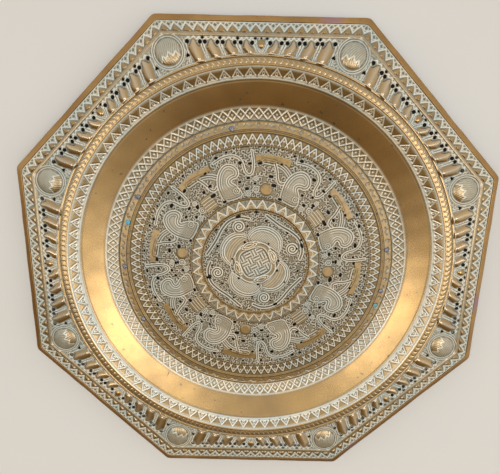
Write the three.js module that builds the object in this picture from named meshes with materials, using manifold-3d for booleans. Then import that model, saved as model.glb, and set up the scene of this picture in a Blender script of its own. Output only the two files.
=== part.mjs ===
// Octagonal brass tray: a raised rim-and-wall sheet, a pierced floor plate riveted into it, and a
// folded strip that binds the outer edge. Millimetres, +Z up, standing on its ledge at z = 0.
import * as THREE from "three";
import { mergeVertices } from "three/addons/utils/BufferGeometryUtils.js";
import Module from "manifold-3d";

const wasm = await Module();
wasm.setup();

// Driving dimensions.
const APOTHEM = 183; // centre to the middle of a side
const SIDES = 8;
const SHEET = 1.2; // thickness of the raised sheet and of the floor plate
const GAP = 0.3; // clearance between neighbouring pieces
const EDGE_Z = 17.1; // height of the outer edge
const BEVEL_IN = 178.6; // inner edge of the bevelled binding, as an apothem
const BEVEL_RISE = 1.7; // how far the bevel climbs inwards
const STRIP = 0.6; // thickness of the binding strip
const CORNER_EASE = 0.9; // how much a corner is rounded back
const STEPS_PER_SIDE = 6; // even, so that each corner has a vertex
const PLATE_STEPS = 56;
const RIVET_STEPS = 8;

// The rim ornament.
const RIB_OUT = 171.6; // raised octagonal rib, as apothems
const RIB_IN = 169.3;
const RIM_Z = 18.2; // plain level of the rim
const RIB_HEIGHT = 0.8;
const ROUND_RIM_R = 158; // where the octagonal field meets the round cable ring
const CABLE_R = 154.3;
const CABLE_HALF = 2.2;
const CABLE_HEIGHT = 0.9;
const BAND_R = 150.2; // outer line of the ring of triangles
const WALL_TOP_R = 144.3;
const WALL_TOP_Z = 12.5;
const WALL_FOOT_R = 123.6;
const WALL_FOOT_Z = 4.3;
const BOSS_PLACE_R = 171.5; // centres of the corner bosses
const BOSS_R = 7.4;
const BOSS_HEIGHT = 2.1;
const LOBES_PER_HALF = 4;
const LOBE_HEIGHT = 1.4;

// The floor plate and its ledge.
const LEDGE_IN_R = 101;
const PLATE_R = 114.4;
const PLATE_BACK = SHEET + GAP;
const PLATE_TOP = PLATE_BACK + SHEET;
const OUTER_RIB_R = 113.5;
const INNER_RIB_R = 107;
const FRIEZE_OUT_R = 95.7;
const FRIEZE_IN_R = 54;
const ROUNDEL_R = 45.1;
const LINE_HEIGHT = 0.5;
const FIGURES = 8;
const FIGURE_HEIGHT = 0.8;
const SWIRLS = 4;

// The rivets: their places round the ring, in degrees, at one radius.
const RIVET_RING_R = 109.9;
const RIVET_ANGLES = [7, 101, 151, 163, 183, 209, 341, 348];
const HEAD_R = 2.1;
const HEAD_HEIGHT = 0.9;
const SHANK_R = 1.2;
const TAIL_R = 1.9;
const TAIL_DEPTH = 0.7;

const BRASS = { color: 0xb08a46, roughness: 0.42, metalness: 1 };
const FLOOR_BRASS = { color: 0xa99772, roughness: 0.55, metalness: 1 };
const STRIP_BRASS = { color: 0xa8763f, roughness: 0.38, metalness: 1 };
const RIVET_METAL = { color: 0x8d93a6, roughness: 0.5, metalness: 1 };

const SECTOR = (2 * Math.PI) / SIDES;
const at = (radius, angle) => new THREE.Vector2(radius * Math.cos(angle), radius * Math.sin(angle));
const radians = THREE.MathUtils.degToRad;

// Radius at an angle of a ring that is an octagon (round = 0), a circle (round = 1) or between.
function ringRadius(reach, round, angle) {
  const offSide = angle - Math.round(angle / SECTOR) * SECTOR;
  const onCorner = Math.abs(Math.abs(offSide) - SECTOR / 2) < 1e-6;
  const octagon = reach / Math.cos(offSide) - (onCorner ? CORNER_EASE : 0);
  return THREE.MathUtils.lerp(octagon, reach, round);
}

// A closed ring of material: every profile point [reach, z, round] becomes one loop of vertices,
// and neighbouring loops are joined. The profile runs anticlockwise seen with z up, reach right.
function ringLoft(profile) {
  const steps = SIDES * STEPS_PER_SIDE;
  const positions = [];
  const index = [];
  profile.forEach(([reach, z, round]) => {
    for (let j = 0; j < steps; j++) {
      const angle = (j / steps) * 2 * Math.PI;
      const place = at(ringRadius(reach, round, angle), angle);
      positions.push(place.x, place.y, z);
    }
  });
  profile.forEach((_, i) => {
    const next = (i + 1) % profile.length;
    for (let j = 0; j < steps; j++) {
      const k = (j + 1) % steps;
      index.push(i * steps + j, i * steps + k, next * steps + k);
      index.push(i * steps + j, next * steps + k, next * steps + j);
    }
  });
  const geometry = new THREE.BufferGeometry();
  geometry.setAttribute("position", new THREE.Float32BufferAttribute(positions, 3));
  return geometry.setIndex(index);
}

// The back of a sheet whose face is the given profile, outermost point first.
function backOf(face, thickness) {
  return face.map(([reach, z, round], i) => {
    const before = face[Math.max(i - 1, 0)];
    const after = face[Math.min(i + 1, face.length - 1)];
    const along = new THREE.Vector2(after[0] - before[0], after[1] - before[1]).normalize();
    return [reach - along.y * thickness, z + along.x * thickness, round];
  });
}

function solidOf(geometry) {
  const bare = geometry.clone();
  bare.deleteAttribute("normal");
  bare.deleteAttribute("uv");
  const merged = mergeVertices(bare, 1e-3);
  return new wasm.Manifold(
    new wasm.Mesh({
      numProp: 3,
      vertProperties: new Float32Array(merged.attributes.position.array),
      triVerts: new Uint32Array(merged.index.array),
    }),
  );
}

function geometryOf(solid) {
  const mesh = solid.getMesh();
  const geometry = new THREE.BufferGeometry();
  geometry.setAttribute("position", new THREE.BufferAttribute(mesh.vertProperties, 3));
  geometry.setIndex(new THREE.BufferAttribute(mesh.triVerts, 1));
  geometry.computeVertexNormals();
  return geometry;
}

const join = (solid, geometries) => geometries.reduce((sum, g) => sum.add(solidOf(g)), solid);
const cut = (solid, geometries) => geometries.reduce((rest, g) => rest.subtract(solidOf(g)), solid);

// A solid turned about Z from [radius, height] points that start and end on the axis, lowest first.
function turned(points, steps) {
  const profile = points.map(([radius, z]) => new THREE.Vector2(radius, z));
  return new THREE.LatheGeometry(profile, steps).rotateX(Math.PI / 2);
}

// A lens-shaped swelling with its widest section at z = 0, sunk a little into what carries it.
function swelling(radius, height, steps) {
  const foot = -0.5;
  return turned([[0, foot], [radius, foot], [radius * 0.72, height * 0.62], [0, height]], steps);
}

// An elongated swelling, lying along +X before it is turned and set in place.
function lobe(length, width, height, place, angle, z) {
  return swelling(1, height, 6)
    .scale(length / 2, width / 2, 1)
    .rotateZ(angle)
    .translate(place.x, place.y, z);
}

// A plain round hole through everything at that place.
function piercing(radius, place) {
  return new THREE.CylinderGeometry(radius, radius, 60, 6)
    .rotateX(Math.PI / 2)
    .translate(place.x, place.y, 10);
}

// A flat-topped teardrop that curls over to its left, about 1 unit tall before scaling.
function teardrop(height) {
  const outline = new THREE.Shape();
  outline.moveTo(-0.5, -0.45);
  outline.quadraticCurveTo(0, -0.6, 0.55, -0.45);
  outline.quadraticCurveTo(0.45, 0.45, -0.1, 0.52);
  outline.quadraticCurveTo(-0.5, 0.5, -0.42, 0.15);
  outline.quadraticCurveTo(-0.3, 0.3, -0.12, 0.2);
  outline.quadraticCurveTo(-0.05, 0, -0.5, -0.45);
  const options = { depth: height + 0.5, bevelEnabled: false, curveSegments: 4 };
  return new THREE.ExtrudeGeometry(outline, options).translate(0, 0, -0.5);
}

// Face of the rim and wall, from under the binding in to the ledge.
function rimFace() {
  return [
    [BEVEL_IN + 2.4, EDGE_Z - 0.9, 0],
    [BEVEL_IN - 0.45, RIM_Z - 0.05, 0],
    [RIB_OUT + 0.4, RIM_Z, 0],
    [RIB_OUT, RIM_Z + RIB_HEIGHT, 0],
    [RIB_IN, RIM_Z + RIB_HEIGHT, 0],
    [RIB_IN - 0.4, RIM_Z - 0.1, 0],
    [ROUND_RIM_R, EDGE_Z + 0.3, 1],
    [CABLE_R + CABLE_HALF, EDGE_Z, 1],
    [CABLE_R, EDGE_Z + CABLE_HEIGHT, 1],
    [CABLE_R - CABLE_HALF, EDGE_Z - 0.4, 1],
    [BAND_R, EDGE_Z - 1.2, 1],
    [WALL_TOP_R, WALL_TOP_Z, 1],
    [WALL_FOOT_R, WALL_FOOT_Z, 1],
    [PLATE_R + 4, SHEET + 0.9, 1],
    [PLATE_R + 0.8, SHEET, 1],
    [LEDGE_IN_R, SHEET, 1],
  ];
}

function cornerBosses() {
  return Array.from({ length: SIDES }, (_, k) => {
    const place = at(BOSS_PLACE_R, (k + 0.5) * SECTOR);
    return swelling(BOSS_R, BOSS_HEIGHT, 12).translate(place.x, place.y, RIM_Z - 0.3);
  });
}

// Four lobes on each side of a bud, fanning out from the middle of every side.
function sideLobes() {
  const made = [];
  for (let side = 0; side < SIDES; side++) {
    const middle = side * SECTOR;
    made.push(lobe(7.5, 5.5, LOBE_HEIGHT, at(163.5, middle), middle, RIM_Z - 0.4));
    for (let n = 1; n <= LOBES_PER_HALF; n++) {
      const off = radians(3.2 * n + 0.25);
      const reach = 163.4 + 0.32 * n * n;
      const length = 9 + 1.4 * n;
      [-1, 1].forEach((hand) => {
        const angle = middle + hand * off;
        const lean = angle - hand * radians(14 + 3 * n);
        made.push(lobe(length, 5, LOBE_HEIGHT, at(reach, angle), lean, RIM_Z - 0.5));
      });
    }
  }
  return made;
}

// The larger piercings of the rim: one on either side of each corner boss, and one beyond it.
function rimPiercings() {
  const made = [];
  for (let k = 0; k < SIDES; k++) {
    const corner = (k + 0.5) * SECTOR;
    [-1, 1].forEach((hand) => {
      made.push(piercing(1.2, at(BOSS_PLACE_R - 4.5, corner + hand * radians(3.5))));
      made.push(piercing(1.1, at(BOSS_PLACE_R + 1.5, corner + hand * radians(3.3))));
    });
  }
  return made;
}

// Clearance holes for the rivets, opened out below for their spread tails.
function rivetHoles() {
  const bore = SHANK_R + GAP;
  const mouth = TAIL_R + GAP * 1.4;
  const profile = [[0, -1], [mouth, -1], [mouth, GAP / 3], [bore, TAIL_DEPTH + GAP], [bore, 9], [0, 9]];
  return RIVET_ANGLES.map((degrees) => {
    const place = at(RIVET_RING_R, radians(degrees));
    return turned(profile, RIVET_STEPS).translate(place.x, place.y, 0);
  });
}

function rimAndWall() {
  const face = rimFace();
  const sheet = ringLoft([...face.map((p) => [...p]).reverse(), ...backOf(face, SHEET)].reverse());
  const raised = join(solidOf(sheet), [...cornerBosses(), ...sideLobes()]);
  return geometryOf(cut(raised, [...rimPiercings(), ...rivetHoles()]));
}

// The floor plate: a disc with raised rings, drawn as half its section.
function plateDisc() {
  const ring = (radius, half, height) => [
    [radius + half, PLATE_TOP],
    [radius, PLATE_TOP + height],
    [radius - half, PLATE_TOP],
  ];
  const top = [
    [PLATE_R, PLATE_TOP],
    ...ring(OUTER_RIB_R - 0.3, 0.5, 0.7),
    [OUTER_RIB_R - 1.3, PLATE_TOP + 0.3],
    [INNER_RIB_R + 1, PLATE_TOP + 0.3],
    ...ring(INNER_RIB_R, 0.7, 0.7),
    ...ring(FRIEZE_OUT_R, 0.8, LINE_HEIGHT),
    ...ring(FRIEZE_IN_R, 0.8, LINE_HEIGHT),
    ...ring(ROUNDEL_R, 0.8, LINE_HEIGHT),
    [0, PLATE_TOP],
  ];
  return turned([[0, PLATE_BACK], [PLATE_R, PLATE_BACK], ...top], PLATE_STEPS);
}

function friezeFigures() {
  const size = 24;
  return Array.from({ length: FIGURES }, (_, k) => {
    const angle = (k + 0.42) * (2 * Math.PI / FIGURES);
    const place = at((FRIEZE_OUT_R + FRIEZE_IN_R) / 2 - 2, angle);
    return teardrop(FIGURE_HEIGHT)
      .scale(size, size, 1)
      .rotateZ(angle - Math.PI / 2)
      .translate(place.x, place.y, PLATE_TOP);
  });
}

function roundelSwirls() {
  const size = 21;
  return Array.from({ length: SWIRLS }, (_, k) => {
    const angle = radians(20) + (k * 2 * Math.PI) / SWIRLS;
    const place = at(27, angle);
    return teardrop(FIGURE_HEIGHT)
      .scale(size, size, 1)
      .rotateZ(angle - Math.PI / 3)
      .translate(place.x, place.y, PLATE_TOP);
  });
}

// The larger piercings of the frieze and of the roundel.
function floorPiercings() {
  const made = [];
  for (let k = 0; k < FIGURES; k++) {
    const start = k * (2 * Math.PI / FIGURES);
    made.push(piercing(1.2, at(66, start + radians(1.5))));
    made.push(piercing(1.1, at(88.5, start + radians(12))));
    made.push(piercing(1.1, at(89.5, start + radians(37))));
    made.push(piercing(1.2, at(40.5, start + radians(14))));
  }
  return made;
}

function floorPlate() {
  const raised = join(solidOf(plateDisc()), [...friezeFigures(), ...roundelSwirls()]);
  return geometryOf(cut(raised, [...floorPiercings(), ...rivetHoles()]));
}

// The binding: a strip folded over the edge, its upper leaf sloping down to the outer edge.
function edgeBinding() {
  const top = EDGE_Z + BEVEL_RISE;
  return ringLoft([
    [APOTHEM, EDGE_Z, 0],
    [BEVEL_IN, top, 0],
    [BEVEL_IN, top - STRIP, 0],
    [APOTHEM - STRIP - 0.2, EDGE_Z - STRIP, 0],
    [APOTHEM - STRIP - 0.2, EDGE_Z - 2.9, 0],
    [BEVEL_IN, EDGE_Z - 1.6, 0],
    [BEVEL_IN, EDGE_Z - 1.6 - STRIP, 0],
    [APOTHEM - 0.6, EDGE_Z - 3.5, 0],
    [APOTHEM, EDGE_Z - 3, 0],
  ]);
}

function rivet() {
  const seat = PLATE_TOP + 0.3 + GAP;
  const tail = [[0, 0.1], [TAIL_R, 0.1], [TAIL_R, 0.25], [SHANK_R, TAIL_DEPTH], [SHANK_R, seat]];
  const dome = [0.15, 0.6].map((share) => {
    const turn = share * (Math.PI / 2);
    return [HEAD_R * Math.cos(turn), seat + HEAD_HEIGHT * Math.sin(turn)];
  });
  return turned([...tail, [HEAD_R, seat], ...dome, [0, seat + HEAD_HEIGHT]], RIVET_STEPS);
}

function mesh(name, geometry, finish) {
  const made = new THREE.Mesh(geometry, new THREE.MeshStandardMaterial(finish));
  made.name = name;
  return made;
}

const tray = new THREE.Group();
tray.add(mesh("rim_and_wall", rimAndWall(), BRASS));
tray.add(mesh("floor_plate", floorPlate(), FLOOR_BRASS));
tray.add(mesh("edge_binding", edgeBinding(), STRIP_BRASS));
RIVET_ANGLES.forEach((degrees, i) => {
  const made = mesh(`rivet_${i + 1}`, rivet(), RIVET_METAL);
  const place = at(RIVET_RING_R, radians(degrees));
  made.position.set(place.x, place.y, 0);
  tray.add(made);
});

export default tray;
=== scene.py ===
"""Looks of the octagonal brass tray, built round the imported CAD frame. Relief is worked out in mm."""

import math

import bpy
import numpy as np
from mathutils import Matrix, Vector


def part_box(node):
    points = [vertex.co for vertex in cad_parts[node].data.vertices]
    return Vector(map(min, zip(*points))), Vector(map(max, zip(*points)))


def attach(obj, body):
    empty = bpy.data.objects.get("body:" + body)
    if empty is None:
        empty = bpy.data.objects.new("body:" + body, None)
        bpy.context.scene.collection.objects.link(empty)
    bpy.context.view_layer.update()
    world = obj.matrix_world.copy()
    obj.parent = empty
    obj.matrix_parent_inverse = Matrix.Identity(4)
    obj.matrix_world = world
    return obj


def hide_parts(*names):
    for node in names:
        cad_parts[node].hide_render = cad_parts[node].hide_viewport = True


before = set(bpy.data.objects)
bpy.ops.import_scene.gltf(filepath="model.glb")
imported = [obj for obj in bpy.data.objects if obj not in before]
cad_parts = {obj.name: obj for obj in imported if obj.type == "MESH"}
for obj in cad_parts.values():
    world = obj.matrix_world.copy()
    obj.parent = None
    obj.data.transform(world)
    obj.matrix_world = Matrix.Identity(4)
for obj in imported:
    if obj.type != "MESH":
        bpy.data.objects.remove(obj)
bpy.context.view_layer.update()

MM = 0.001
SIDES = 8
SECTOR = 2 * math.pi / SIDES
HALF_TAN = math.tan(SECTOR / 2)
CORNER_POWER = 320  # how tightly a corner of the octagon is rounded

# Sizes read off the frame, in mm.
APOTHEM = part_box("edge_binding")[1].x / MM
BINDING_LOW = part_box("edge_binding")[0].z / MM
BINDING_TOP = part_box("edge_binding")[1].z / MM
PLATE_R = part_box("floor_plate")[1].x / MM
PLATE_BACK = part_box("floor_plate")[0].z / MM
TOP_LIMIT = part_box("rim_and_wall")[1].z / MM
SHEET = 1.2
PLATE_FACE = PLATE_BACK + SHEET

# The rim and wall: [reach, height, round] from the edge inwards, and the rows of mesh to the next.
RIM_PROFILE = [
    (181.0, 16.2, 0, 4),
    (178.15, 18.15, 0, 16),
    (171.7, 18.2, 0, 6),
    (169.2, 18.1, 0, 46),
    (158.0, 17.4, 1, 6),
    (156.5, 17.1, 1, 9),
    (152.1, 16.7, 1, 5),
    (150.2, 15.9, 1, 16),
    (144.3, 12.5, 1, 22),
    (123.6, 4.3, 1, 12),
    (118.4, 2.1, 1, 8),
    (115.2, 1.2, 1, 6),
    (101.0, 1.2, 1, 0),
]
RIM_COLUMNS = 2304
BACK_STEP = 2  # the back is half as fine as the face
SNAP = 0.62  # share of the mesh's spacing within which a point moves onto a piercing's edge
EDGE_BAND = (171.8, 178.3)
BEADS_PER_SIDE = 18
RIB = (169.3, 171.6)
RIB_HEIGHT = 0.5
FIELD_IN_R = 158.6
LOBES = 4
LOBE_PITCH = 12.4
LOBE_FIRST = 10.4
LOBE_HEIGHT = 1.45
LOBE_LEAN = 2.6
BODY_END = 165.0
CORNER_R = 171.2
CORNER_DOME_R = 9.3
CORNER_RINGS = (10.1, 11.6)
CABLE_R = 154.3
CABLE_HALF = 2.2
CABLE_BEADS = 235
TRIANGLES = 97
TRIANGLE_BAND = (144.6, 149.4)
TRIANGLE_SPREAD = 0.84  # share of the ring's pitch that one triangle takes
LATTICE_OUT = (115.4, 123.2)
LATTICE_OUT_COUNT = 108

# The floor plate.
PLATE_COLUMNS = 1536
PLATE_ROWS = 168
ROUNDEL_R = 45.1
ROUNDEL_ROWS = 104
DISC_IN_R = 0.4  # the innermost row, closed by one flat face
OUTER_RIB_R = 113.2
INNER_RIB_R = 107.0
LATTICE_IN = (96.6, 104.4)
LATTICE_IN_COUNT = 101
FRIEZE_OUT_R = 95.7
FRIEZE_IN_R = 54.0
FIGURES = 8
FIGURE_ANGLE = math.radians(18.3)
INNER_TRIANGLES = 34
SMOOTH_RING_RISE = 0.3
SMOOTH_RING_MARKS = 82
SMOOTH_RING_MIDDLE = 111
SMOOTH_RING_PITCH = 8.4

# The roundel: places in degrees and mm.
SPIRALS = ((22, 33.0), (115, 33.4), (197, 33.0), (285, 32.4))
SPIRAL_R = 5.6
SWIRLS = ((150, 1, False), (62, -1, True), (-32, 1, False), (242, -1, True))  # place, hand, stippled
SWIRL_HALF = math.radians(46)
# The line of a tail: degrees on from its spiral, and radius.
TAIL = [(-16, 37.5), (-6, 41.0), (8, 42.0), (22, 39.5), (34, 37.5), (46, 38.5), (56, 41.0)]
KNOT_R = 18.2
KNOT_RINGS = (13.4, 16.9)
KNOT_TILT = math.radians(28)
WEAVE_BLOCK = 5.4
LONG_HOLES = ((22, 41.2, 2.4), (111, 41.6, 2.2), (199, 40.6, 2.2), (296, 41.0, 2.0))
SMALL_HOLES = 26

# The binding and the rivets.
BINDING_COLUMNS = 768
RIVET_COLUMNS = 40
RIVET_TAIL_R = 1.85
RIVET_SHANK_R = 1.2
RIVET_HEAD_HEIGHT = 0.9
RIVET_HEAD_RISE = 0.86
TURQUOISE_RIVET = 4
TEAL_RIVET = 7
HEAT_TINTS = ((0.049, 0.179), (0.179, -0.025), (0.0905, -0.163))  # places on the binding, in metres

SEED = 7
LINE_SWELL = 0.6  # how wide a line is for its stated width
HOLLOW_DEPTH = 0.11  # how far below its surroundings the metal is painted fully dark, as painted shade in its recesses
NO_HOLE = 9.0  # a distance to the nearest piercing that counts as none


# ---- small profile functions ----


def ease(low, high, x):
    """0 below low, 1 above high, smooth between."""
    t = np.clip((x - low) / (high - low), 0.0, 1.0)
    return t * t * (3 - 2 * t)


def fade(low, high, x):
    """1 below low, 0 above high, smooth between."""
    return 1 - ease(low, high, x)


def line(distance, width):
    """1 on a raised line, falling to 0 beyond its width."""
    return np.exp(-((distance / (LINE_SWELL * width)) ** 2))


def within(x, low, high, soft=0.25):
    return ease(low - soft, low + soft, x) * fade(high - soft, high + soft, x)


def dome(share):
    """Height of a round swelling, share being 0 at its middle and 1 at its edge."""
    return np.sqrt(np.clip(1 - share**2, 0, 1))


def zigzag(phase):
    """1 at whole phases and 0 half-way between."""
    return np.abs(2 * (phase - np.floor(phase)) - 1)


def wrap(angle):
    return (angle + math.pi) % (2 * math.pi) - math.pi


def hashed(*cells):
    """A repeatable number from 0 to 1 for each whole-numbered cell."""
    mixed = sum(cell * factor for cell, factor in zip(cells, (127.1, 311.7, 74.7)))
    value = np.sin(mixed + SEED) * 43758.5453
    return value - np.floor(value)


def wander(x, y, scale):
    """Slow uneven drift, about -1 to 1, that makes hand work slightly irregular."""
    u, v = x / scale, y / scale
    return (np.sin(1.7 * u + 2.3 * v + 1) + np.sin(3.1 * v - 1.3 * u + 2) + np.sin(2.6 * u + 0.4)) / 3


# ---- strokes and outlines ----


def smoothed(points, closed=False, rounds=2):
    """Rounds the corners of a chain of points by cutting them off."""
    chain = [np.array(p, float) for p in points]
    for _ in range(rounds):
        cut = [] if closed else [chain[0]]
        pairs = zip(chain, chain[1:] + (chain[:1] if closed else []))
        for a, b in pairs:
            cut += [0.75 * a + 0.25 * b, 0.25 * a + 0.75 * b]
        chain = cut if closed else cut + [chain[-1]]
    return np.array(chain)


def stroke(x, y, chain, closed=False):
    """Distance from each point to a chain of points."""
    best = np.full(x.shape, 1e9)
    last = len(chain) if closed else len(chain) - 1
    for i in range(last):
        ax, ay = chain[i]
        bx, by = chain[(i + 1) % len(chain)]
        dx, dy = bx - ax, by - ay
        t = np.clip(((x - ax) * dx + (y - ay) * dy) / (dx * dx + dy * dy + 1e-9), 0, 1)
        best = np.minimum(best, (x - ax - t * dx) ** 2 + (y - ay - t * dy) ** 2)
    return np.sqrt(best)


def outline(x, y, chain):
    """Distance to a closed outline, negative inside it."""
    inside = np.zeros(x.shape, bool)
    for (ax, ay), (bx, by) in zip(chain, np.roll(chain, -1, axis=0)):
        if ay == by:
            continue
        crosses = (ay > y) != (by > y)
        inside ^= crosses & (x < ax + (y - ay) * (bx - ax) / (by - ay))
    away = stroke(x, y, chain, closed=True)
    return np.where(inside, -away, away)


# ---- the relief being built up ----


class Relief:
    """Height in mm, shares of pale deposit and of bare gold, and distance to the nearest piercing."""

    def __init__(self, x, y):
        self.x = x
        self.y = y
        self.radius = np.hypot(x, y)
        self.angle = np.arctan2(y, x)
        self.height = np.zeros(x.shape)
        self.pale = np.zeros(x.shape)
        self.gold = np.zeros(x.shape)
        self.busy = np.zeros(x.shape)
        self.hole = np.full(x.shape, NO_HOLE)

    def raise_line(self, amount, height, pale=1.0):
        self.height = self.height + height * amount * (1 - 0.6 * np.clip(self.height / 2, 0, 1))
        self.pale = np.maximum(self.pale, pale * amount)
        self.busy = np.maximum(self.busy, amount)

    def raise_form(self, amount, height, gold=1.0):
        self.height = self.height + height * amount
        bare = ease(0.05, 0.5, amount) * gold
        self.gold = np.maximum(self.gold, bare)
        self.pale = self.pale * (1 - bare)
        self.busy = np.maximum(self.busy, ease(0, 0.1, amount))

    def repeats(self, count):
        """Place round the tray, counted in repeats of a pattern."""
        return count * self.angle / (2 * math.pi)

    def draw(self, distance, width, height, mask=1.0, pale=1.0):
        """A raised line where the distance is 0."""
        self.raise_line(line(distance, width) * mask, height, pale)

    def circle(self, place, width, height, pale=1.0):
        self.draw(self.radius - place, width, height, pale=pale)

    def round_rib(self, place, half, height, gold=1.0):
        self.raise_form(dome((self.radius - place) / half), height, gold)

    def pierce(self, distance):
        self.hole = np.minimum(self.hole, distance)

    def whiten(self, amount):
        self.pale = np.maximum(self.pale, amount)

    def wipe(self, amount):
        self.pale = self.pale * (1 - amount)

    def paint(self, mask, tone):
        self.pale = self.pale * (1 - mask) + tone * mask

    def polish(self, amount):
        self.gold = np.maximum(self.gold, amount)

    def claim(self, amount):
        """Marks ground as taken, so that the filling curls keep off it."""
        self.busy = np.maximum(self.busy, amount)


def ground_rings(relief, where, cell, share=0.8):
    """Small curls, each a ring left open on one side, that fill the ground wherever nothing else stands."""
    rows = np.round(relief.radius / cell)
    per_ring = np.maximum(np.round(2 * math.pi * rows), 1)
    turn = relief.angle / (2 * math.pi) * per_ring
    column = np.round(turn)
    column_id = column % per_ring
    drift = hashed(rows, column_id) - 0.5
    across = (turn - column - 0.22 * drift) * cell
    along = relief.radius - (rows + 0.22 * drift) * cell
    away = np.hypot(across, along)
    size = cell * (0.24 + 0.16 * hashed(column_id, rows))
    opening = np.abs(wrap(np.arctan2(across, along) - 2 * math.pi * hashed(rows, column_id, 7)))
    shown = (hashed(rows, column_id, 3) < share) * ease(0.35, 0.7, opening)
    free = where * fade(0.05, 0.4, relief.busy)
    relief.draw(away - size, 0.85, 0.34, free * shown)
    relief.wipe(0.8 * line(away, 0.6 * cell) * free)


# ---- rim ornament ----


def side_frame(relief):
    """Place along the side from its middle, and distance from the tray's centre across it."""
    off = relief.angle - np.round(relief.angle / SECTOR) * SECTOR
    return relief.radius * np.sin(off), relief.radius * np.cos(off)


def edge_band(relief, along, reach):
    """A row of domed triangles under a zigzag, with a small outlined lozenge between each two points."""
    low, high = EDGE_BAND
    half = reach * HALF_TAN
    phase = (along / half + 1) / 2 * BEADS_PER_SIDE
    pitch = 2 * half / BEADS_PER_SIDE
    aside = (phase - np.floor(phase) - 0.5) * pitch
    ground = within(reach, low, high)
    relief.whiten(0.2 * ground)
    climb = np.clip((reach - low - 0.1) / 4.1, 0, 1)
    room = 0.36 * pitch * (1 - climb) + 0.01
    bead = dome(aside / room) * (1 - climb) ** 0.5 * within(reach, low + 0.1, low + 4.1)
    relief.raise_form(bead, 1.3)
    ridge = low + 1.0 + 4.6 * (1 - np.abs(aside) / (pitch / 2))
    relief.draw((reach - ridge) * 0.65, 0.95, 0.36, ground)
    between = pitch / 2 - np.abs(aside)
    lozenge = between / 1.9 + np.abs(reach - high + 2.1) / 1.8 - 1
    relief.draw(lozenge * 1.3, 0.6, 0.2, ground, 0.9)
    relief.wipe(0.8 * fade(-0.7, -0.3, lozenge) * ground)
    relief.draw(reach - high + 0.25, 0.6, 0.25)


def rib(relief, reach):
    low, high = RIB
    body = within(reach, low, high, 0.35)
    relief.raise_form(body, RIB_HEIGHT, 0.65)
    for place in (low + 0.65, high - 0.55):
        relief.height -= 0.22 * line(reach - place, 0.6)
        relief.whiten(0.2 * line(reach - place, 0.5))


def s_curve(outer, lean, t):
    return outer - lean * fade(-0.05, 1.0, t)


def one_lobe(relief, aside, reach, n):
    """One leaning lobe whose tip rises between two piercings, under a three-pointed outline."""
    outer = LOBE_FIRST + LOBE_PITCH * n
    lean = LOBE_LEAN + 0.5 * n
    foot = math.sqrt(FIELD_IN_R**2 - (outer - lean) ** 2) + 0.2
    t = (reach - foot) / (BODY_END - foot)
    across = aside - s_curve(outer, lean, t)
    half = 4.35 + 0.16 * n
    width = half * (0.74 + 0.26 * ease(-0.1, 0.45, t))
    share = np.abs(across) / width
    near = (share < 1.7) & (reach > foot - 2)
    top = BODY_END - 2.0 + 4.6 * fade(0.0, 0.75, share)
    foot_round = dome(np.clip((0.16 - t) / 0.26, 0, 1))
    body = dome(share) * foot_round * fade(top - 1.5, top + 0.1, reach) * near
    relief.raise_form(body, LOBE_HEIGHT + 0.1 * n)
    crest = line(share, 0.9) * body
    relief.height += 0.3 * crest
    # Painted highlight: a lighter pale streak along each lobe's crest.
    relief.whiten(0.26 * crest)
    crown = BODY_END + 1.6 + 1.5 * zigzag(across / (0.8 * half)) + 0.5 * np.clip(1 - share, 0, 1)
    flank = line((share - 1.09) * width, 0.75) * within(t, 0.0, 1.05, 0.08)
    edge = line((reach - crown) * 0.6, 0.8) * (share < 1.25)
    relief.raise_line(np.maximum(flank, edge) * near, 0.34)
    for hand in (-1, 1):
        gap = np.hypot(across - hand * (half - 0.25), reach - BODY_END - 0.35)
        relief.pierce(gap - 1.4)
        relief.draw(gap - 1.75, 0.45, 0.2, near * (reach > BODY_END - 0.4))


def between_lobes(relief, aside, reach, m):
    """The pair of fine S lines half-way between two lobes, and the small piercing beyond them."""
    place = m - 0.5
    outer = LOBE_FIRST + LOBE_PITCH * place
    lean = LOBE_LEAN + 0.5 * place
    foot = math.sqrt(FIELD_IN_R**2 - max(outer - lean, 0) ** 2)
    t = (reach - foot) / (BODY_END - foot)
    across = aside - s_curve(outer, lean, t)
    span = within(reach, foot + 0.2, BODY_END + 2.0, 0.3)
    for offset in (-0.72, 0.72):
        relief.draw(across - offset, 0.66, 0.3, span)
    if m < LOBES:
        relief.pierce(np.hypot(across / 1.2, reach - BODY_END - 3.1) - 0.9)


def bud(relief, along, reach):
    """The heart-shaped bud in the middle of a side, in two nested V-shaped lines."""
    share = np.hypot(along / 2.5, (reach - 164.6) / 3.0)
    relief.raise_form(dome(share), 1.15)
    for inset in (0.0, 1.25):
        wall = 159.3 + inset + 7.9 * (np.abs(along) / (4.9 - 0.7 * inset)) ** 1.7
        slope = 1 / np.sqrt(1 + (2.6 * np.abs(along) / 4.9) ** 2)
        relief.draw((reach - wall) * slope, 0.62, 0.3, reach < BODY_END + 3.2)
    relief.pierce(np.hypot(along, reach - 168.3) - 0.7)


def lobes_of_side(relief, along, reach):
    """Ground, bud and mirrored lobes of the field between the rib and the round ring."""
    inner = ease(FIELD_IN_R - 0.3, FIELD_IN_R + 0.3, relief.radius)
    field = inner * fade(RIB[0] - 0.5, RIB[0], reach)
    relief.whiten(0.36 * field)
    relief.height -= 0.3 * field
    for n in range(LOBES):
        one_lobe(relief, np.abs(along), reach, n)
    for m in range(LOBES + 1):
        between_lobes(relief, np.abs(along), reach, m)
    bud(relief, along, reach)
    relief.draw(reach - RIB[0] + 0.7, 0.5, 0.2, field)


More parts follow.
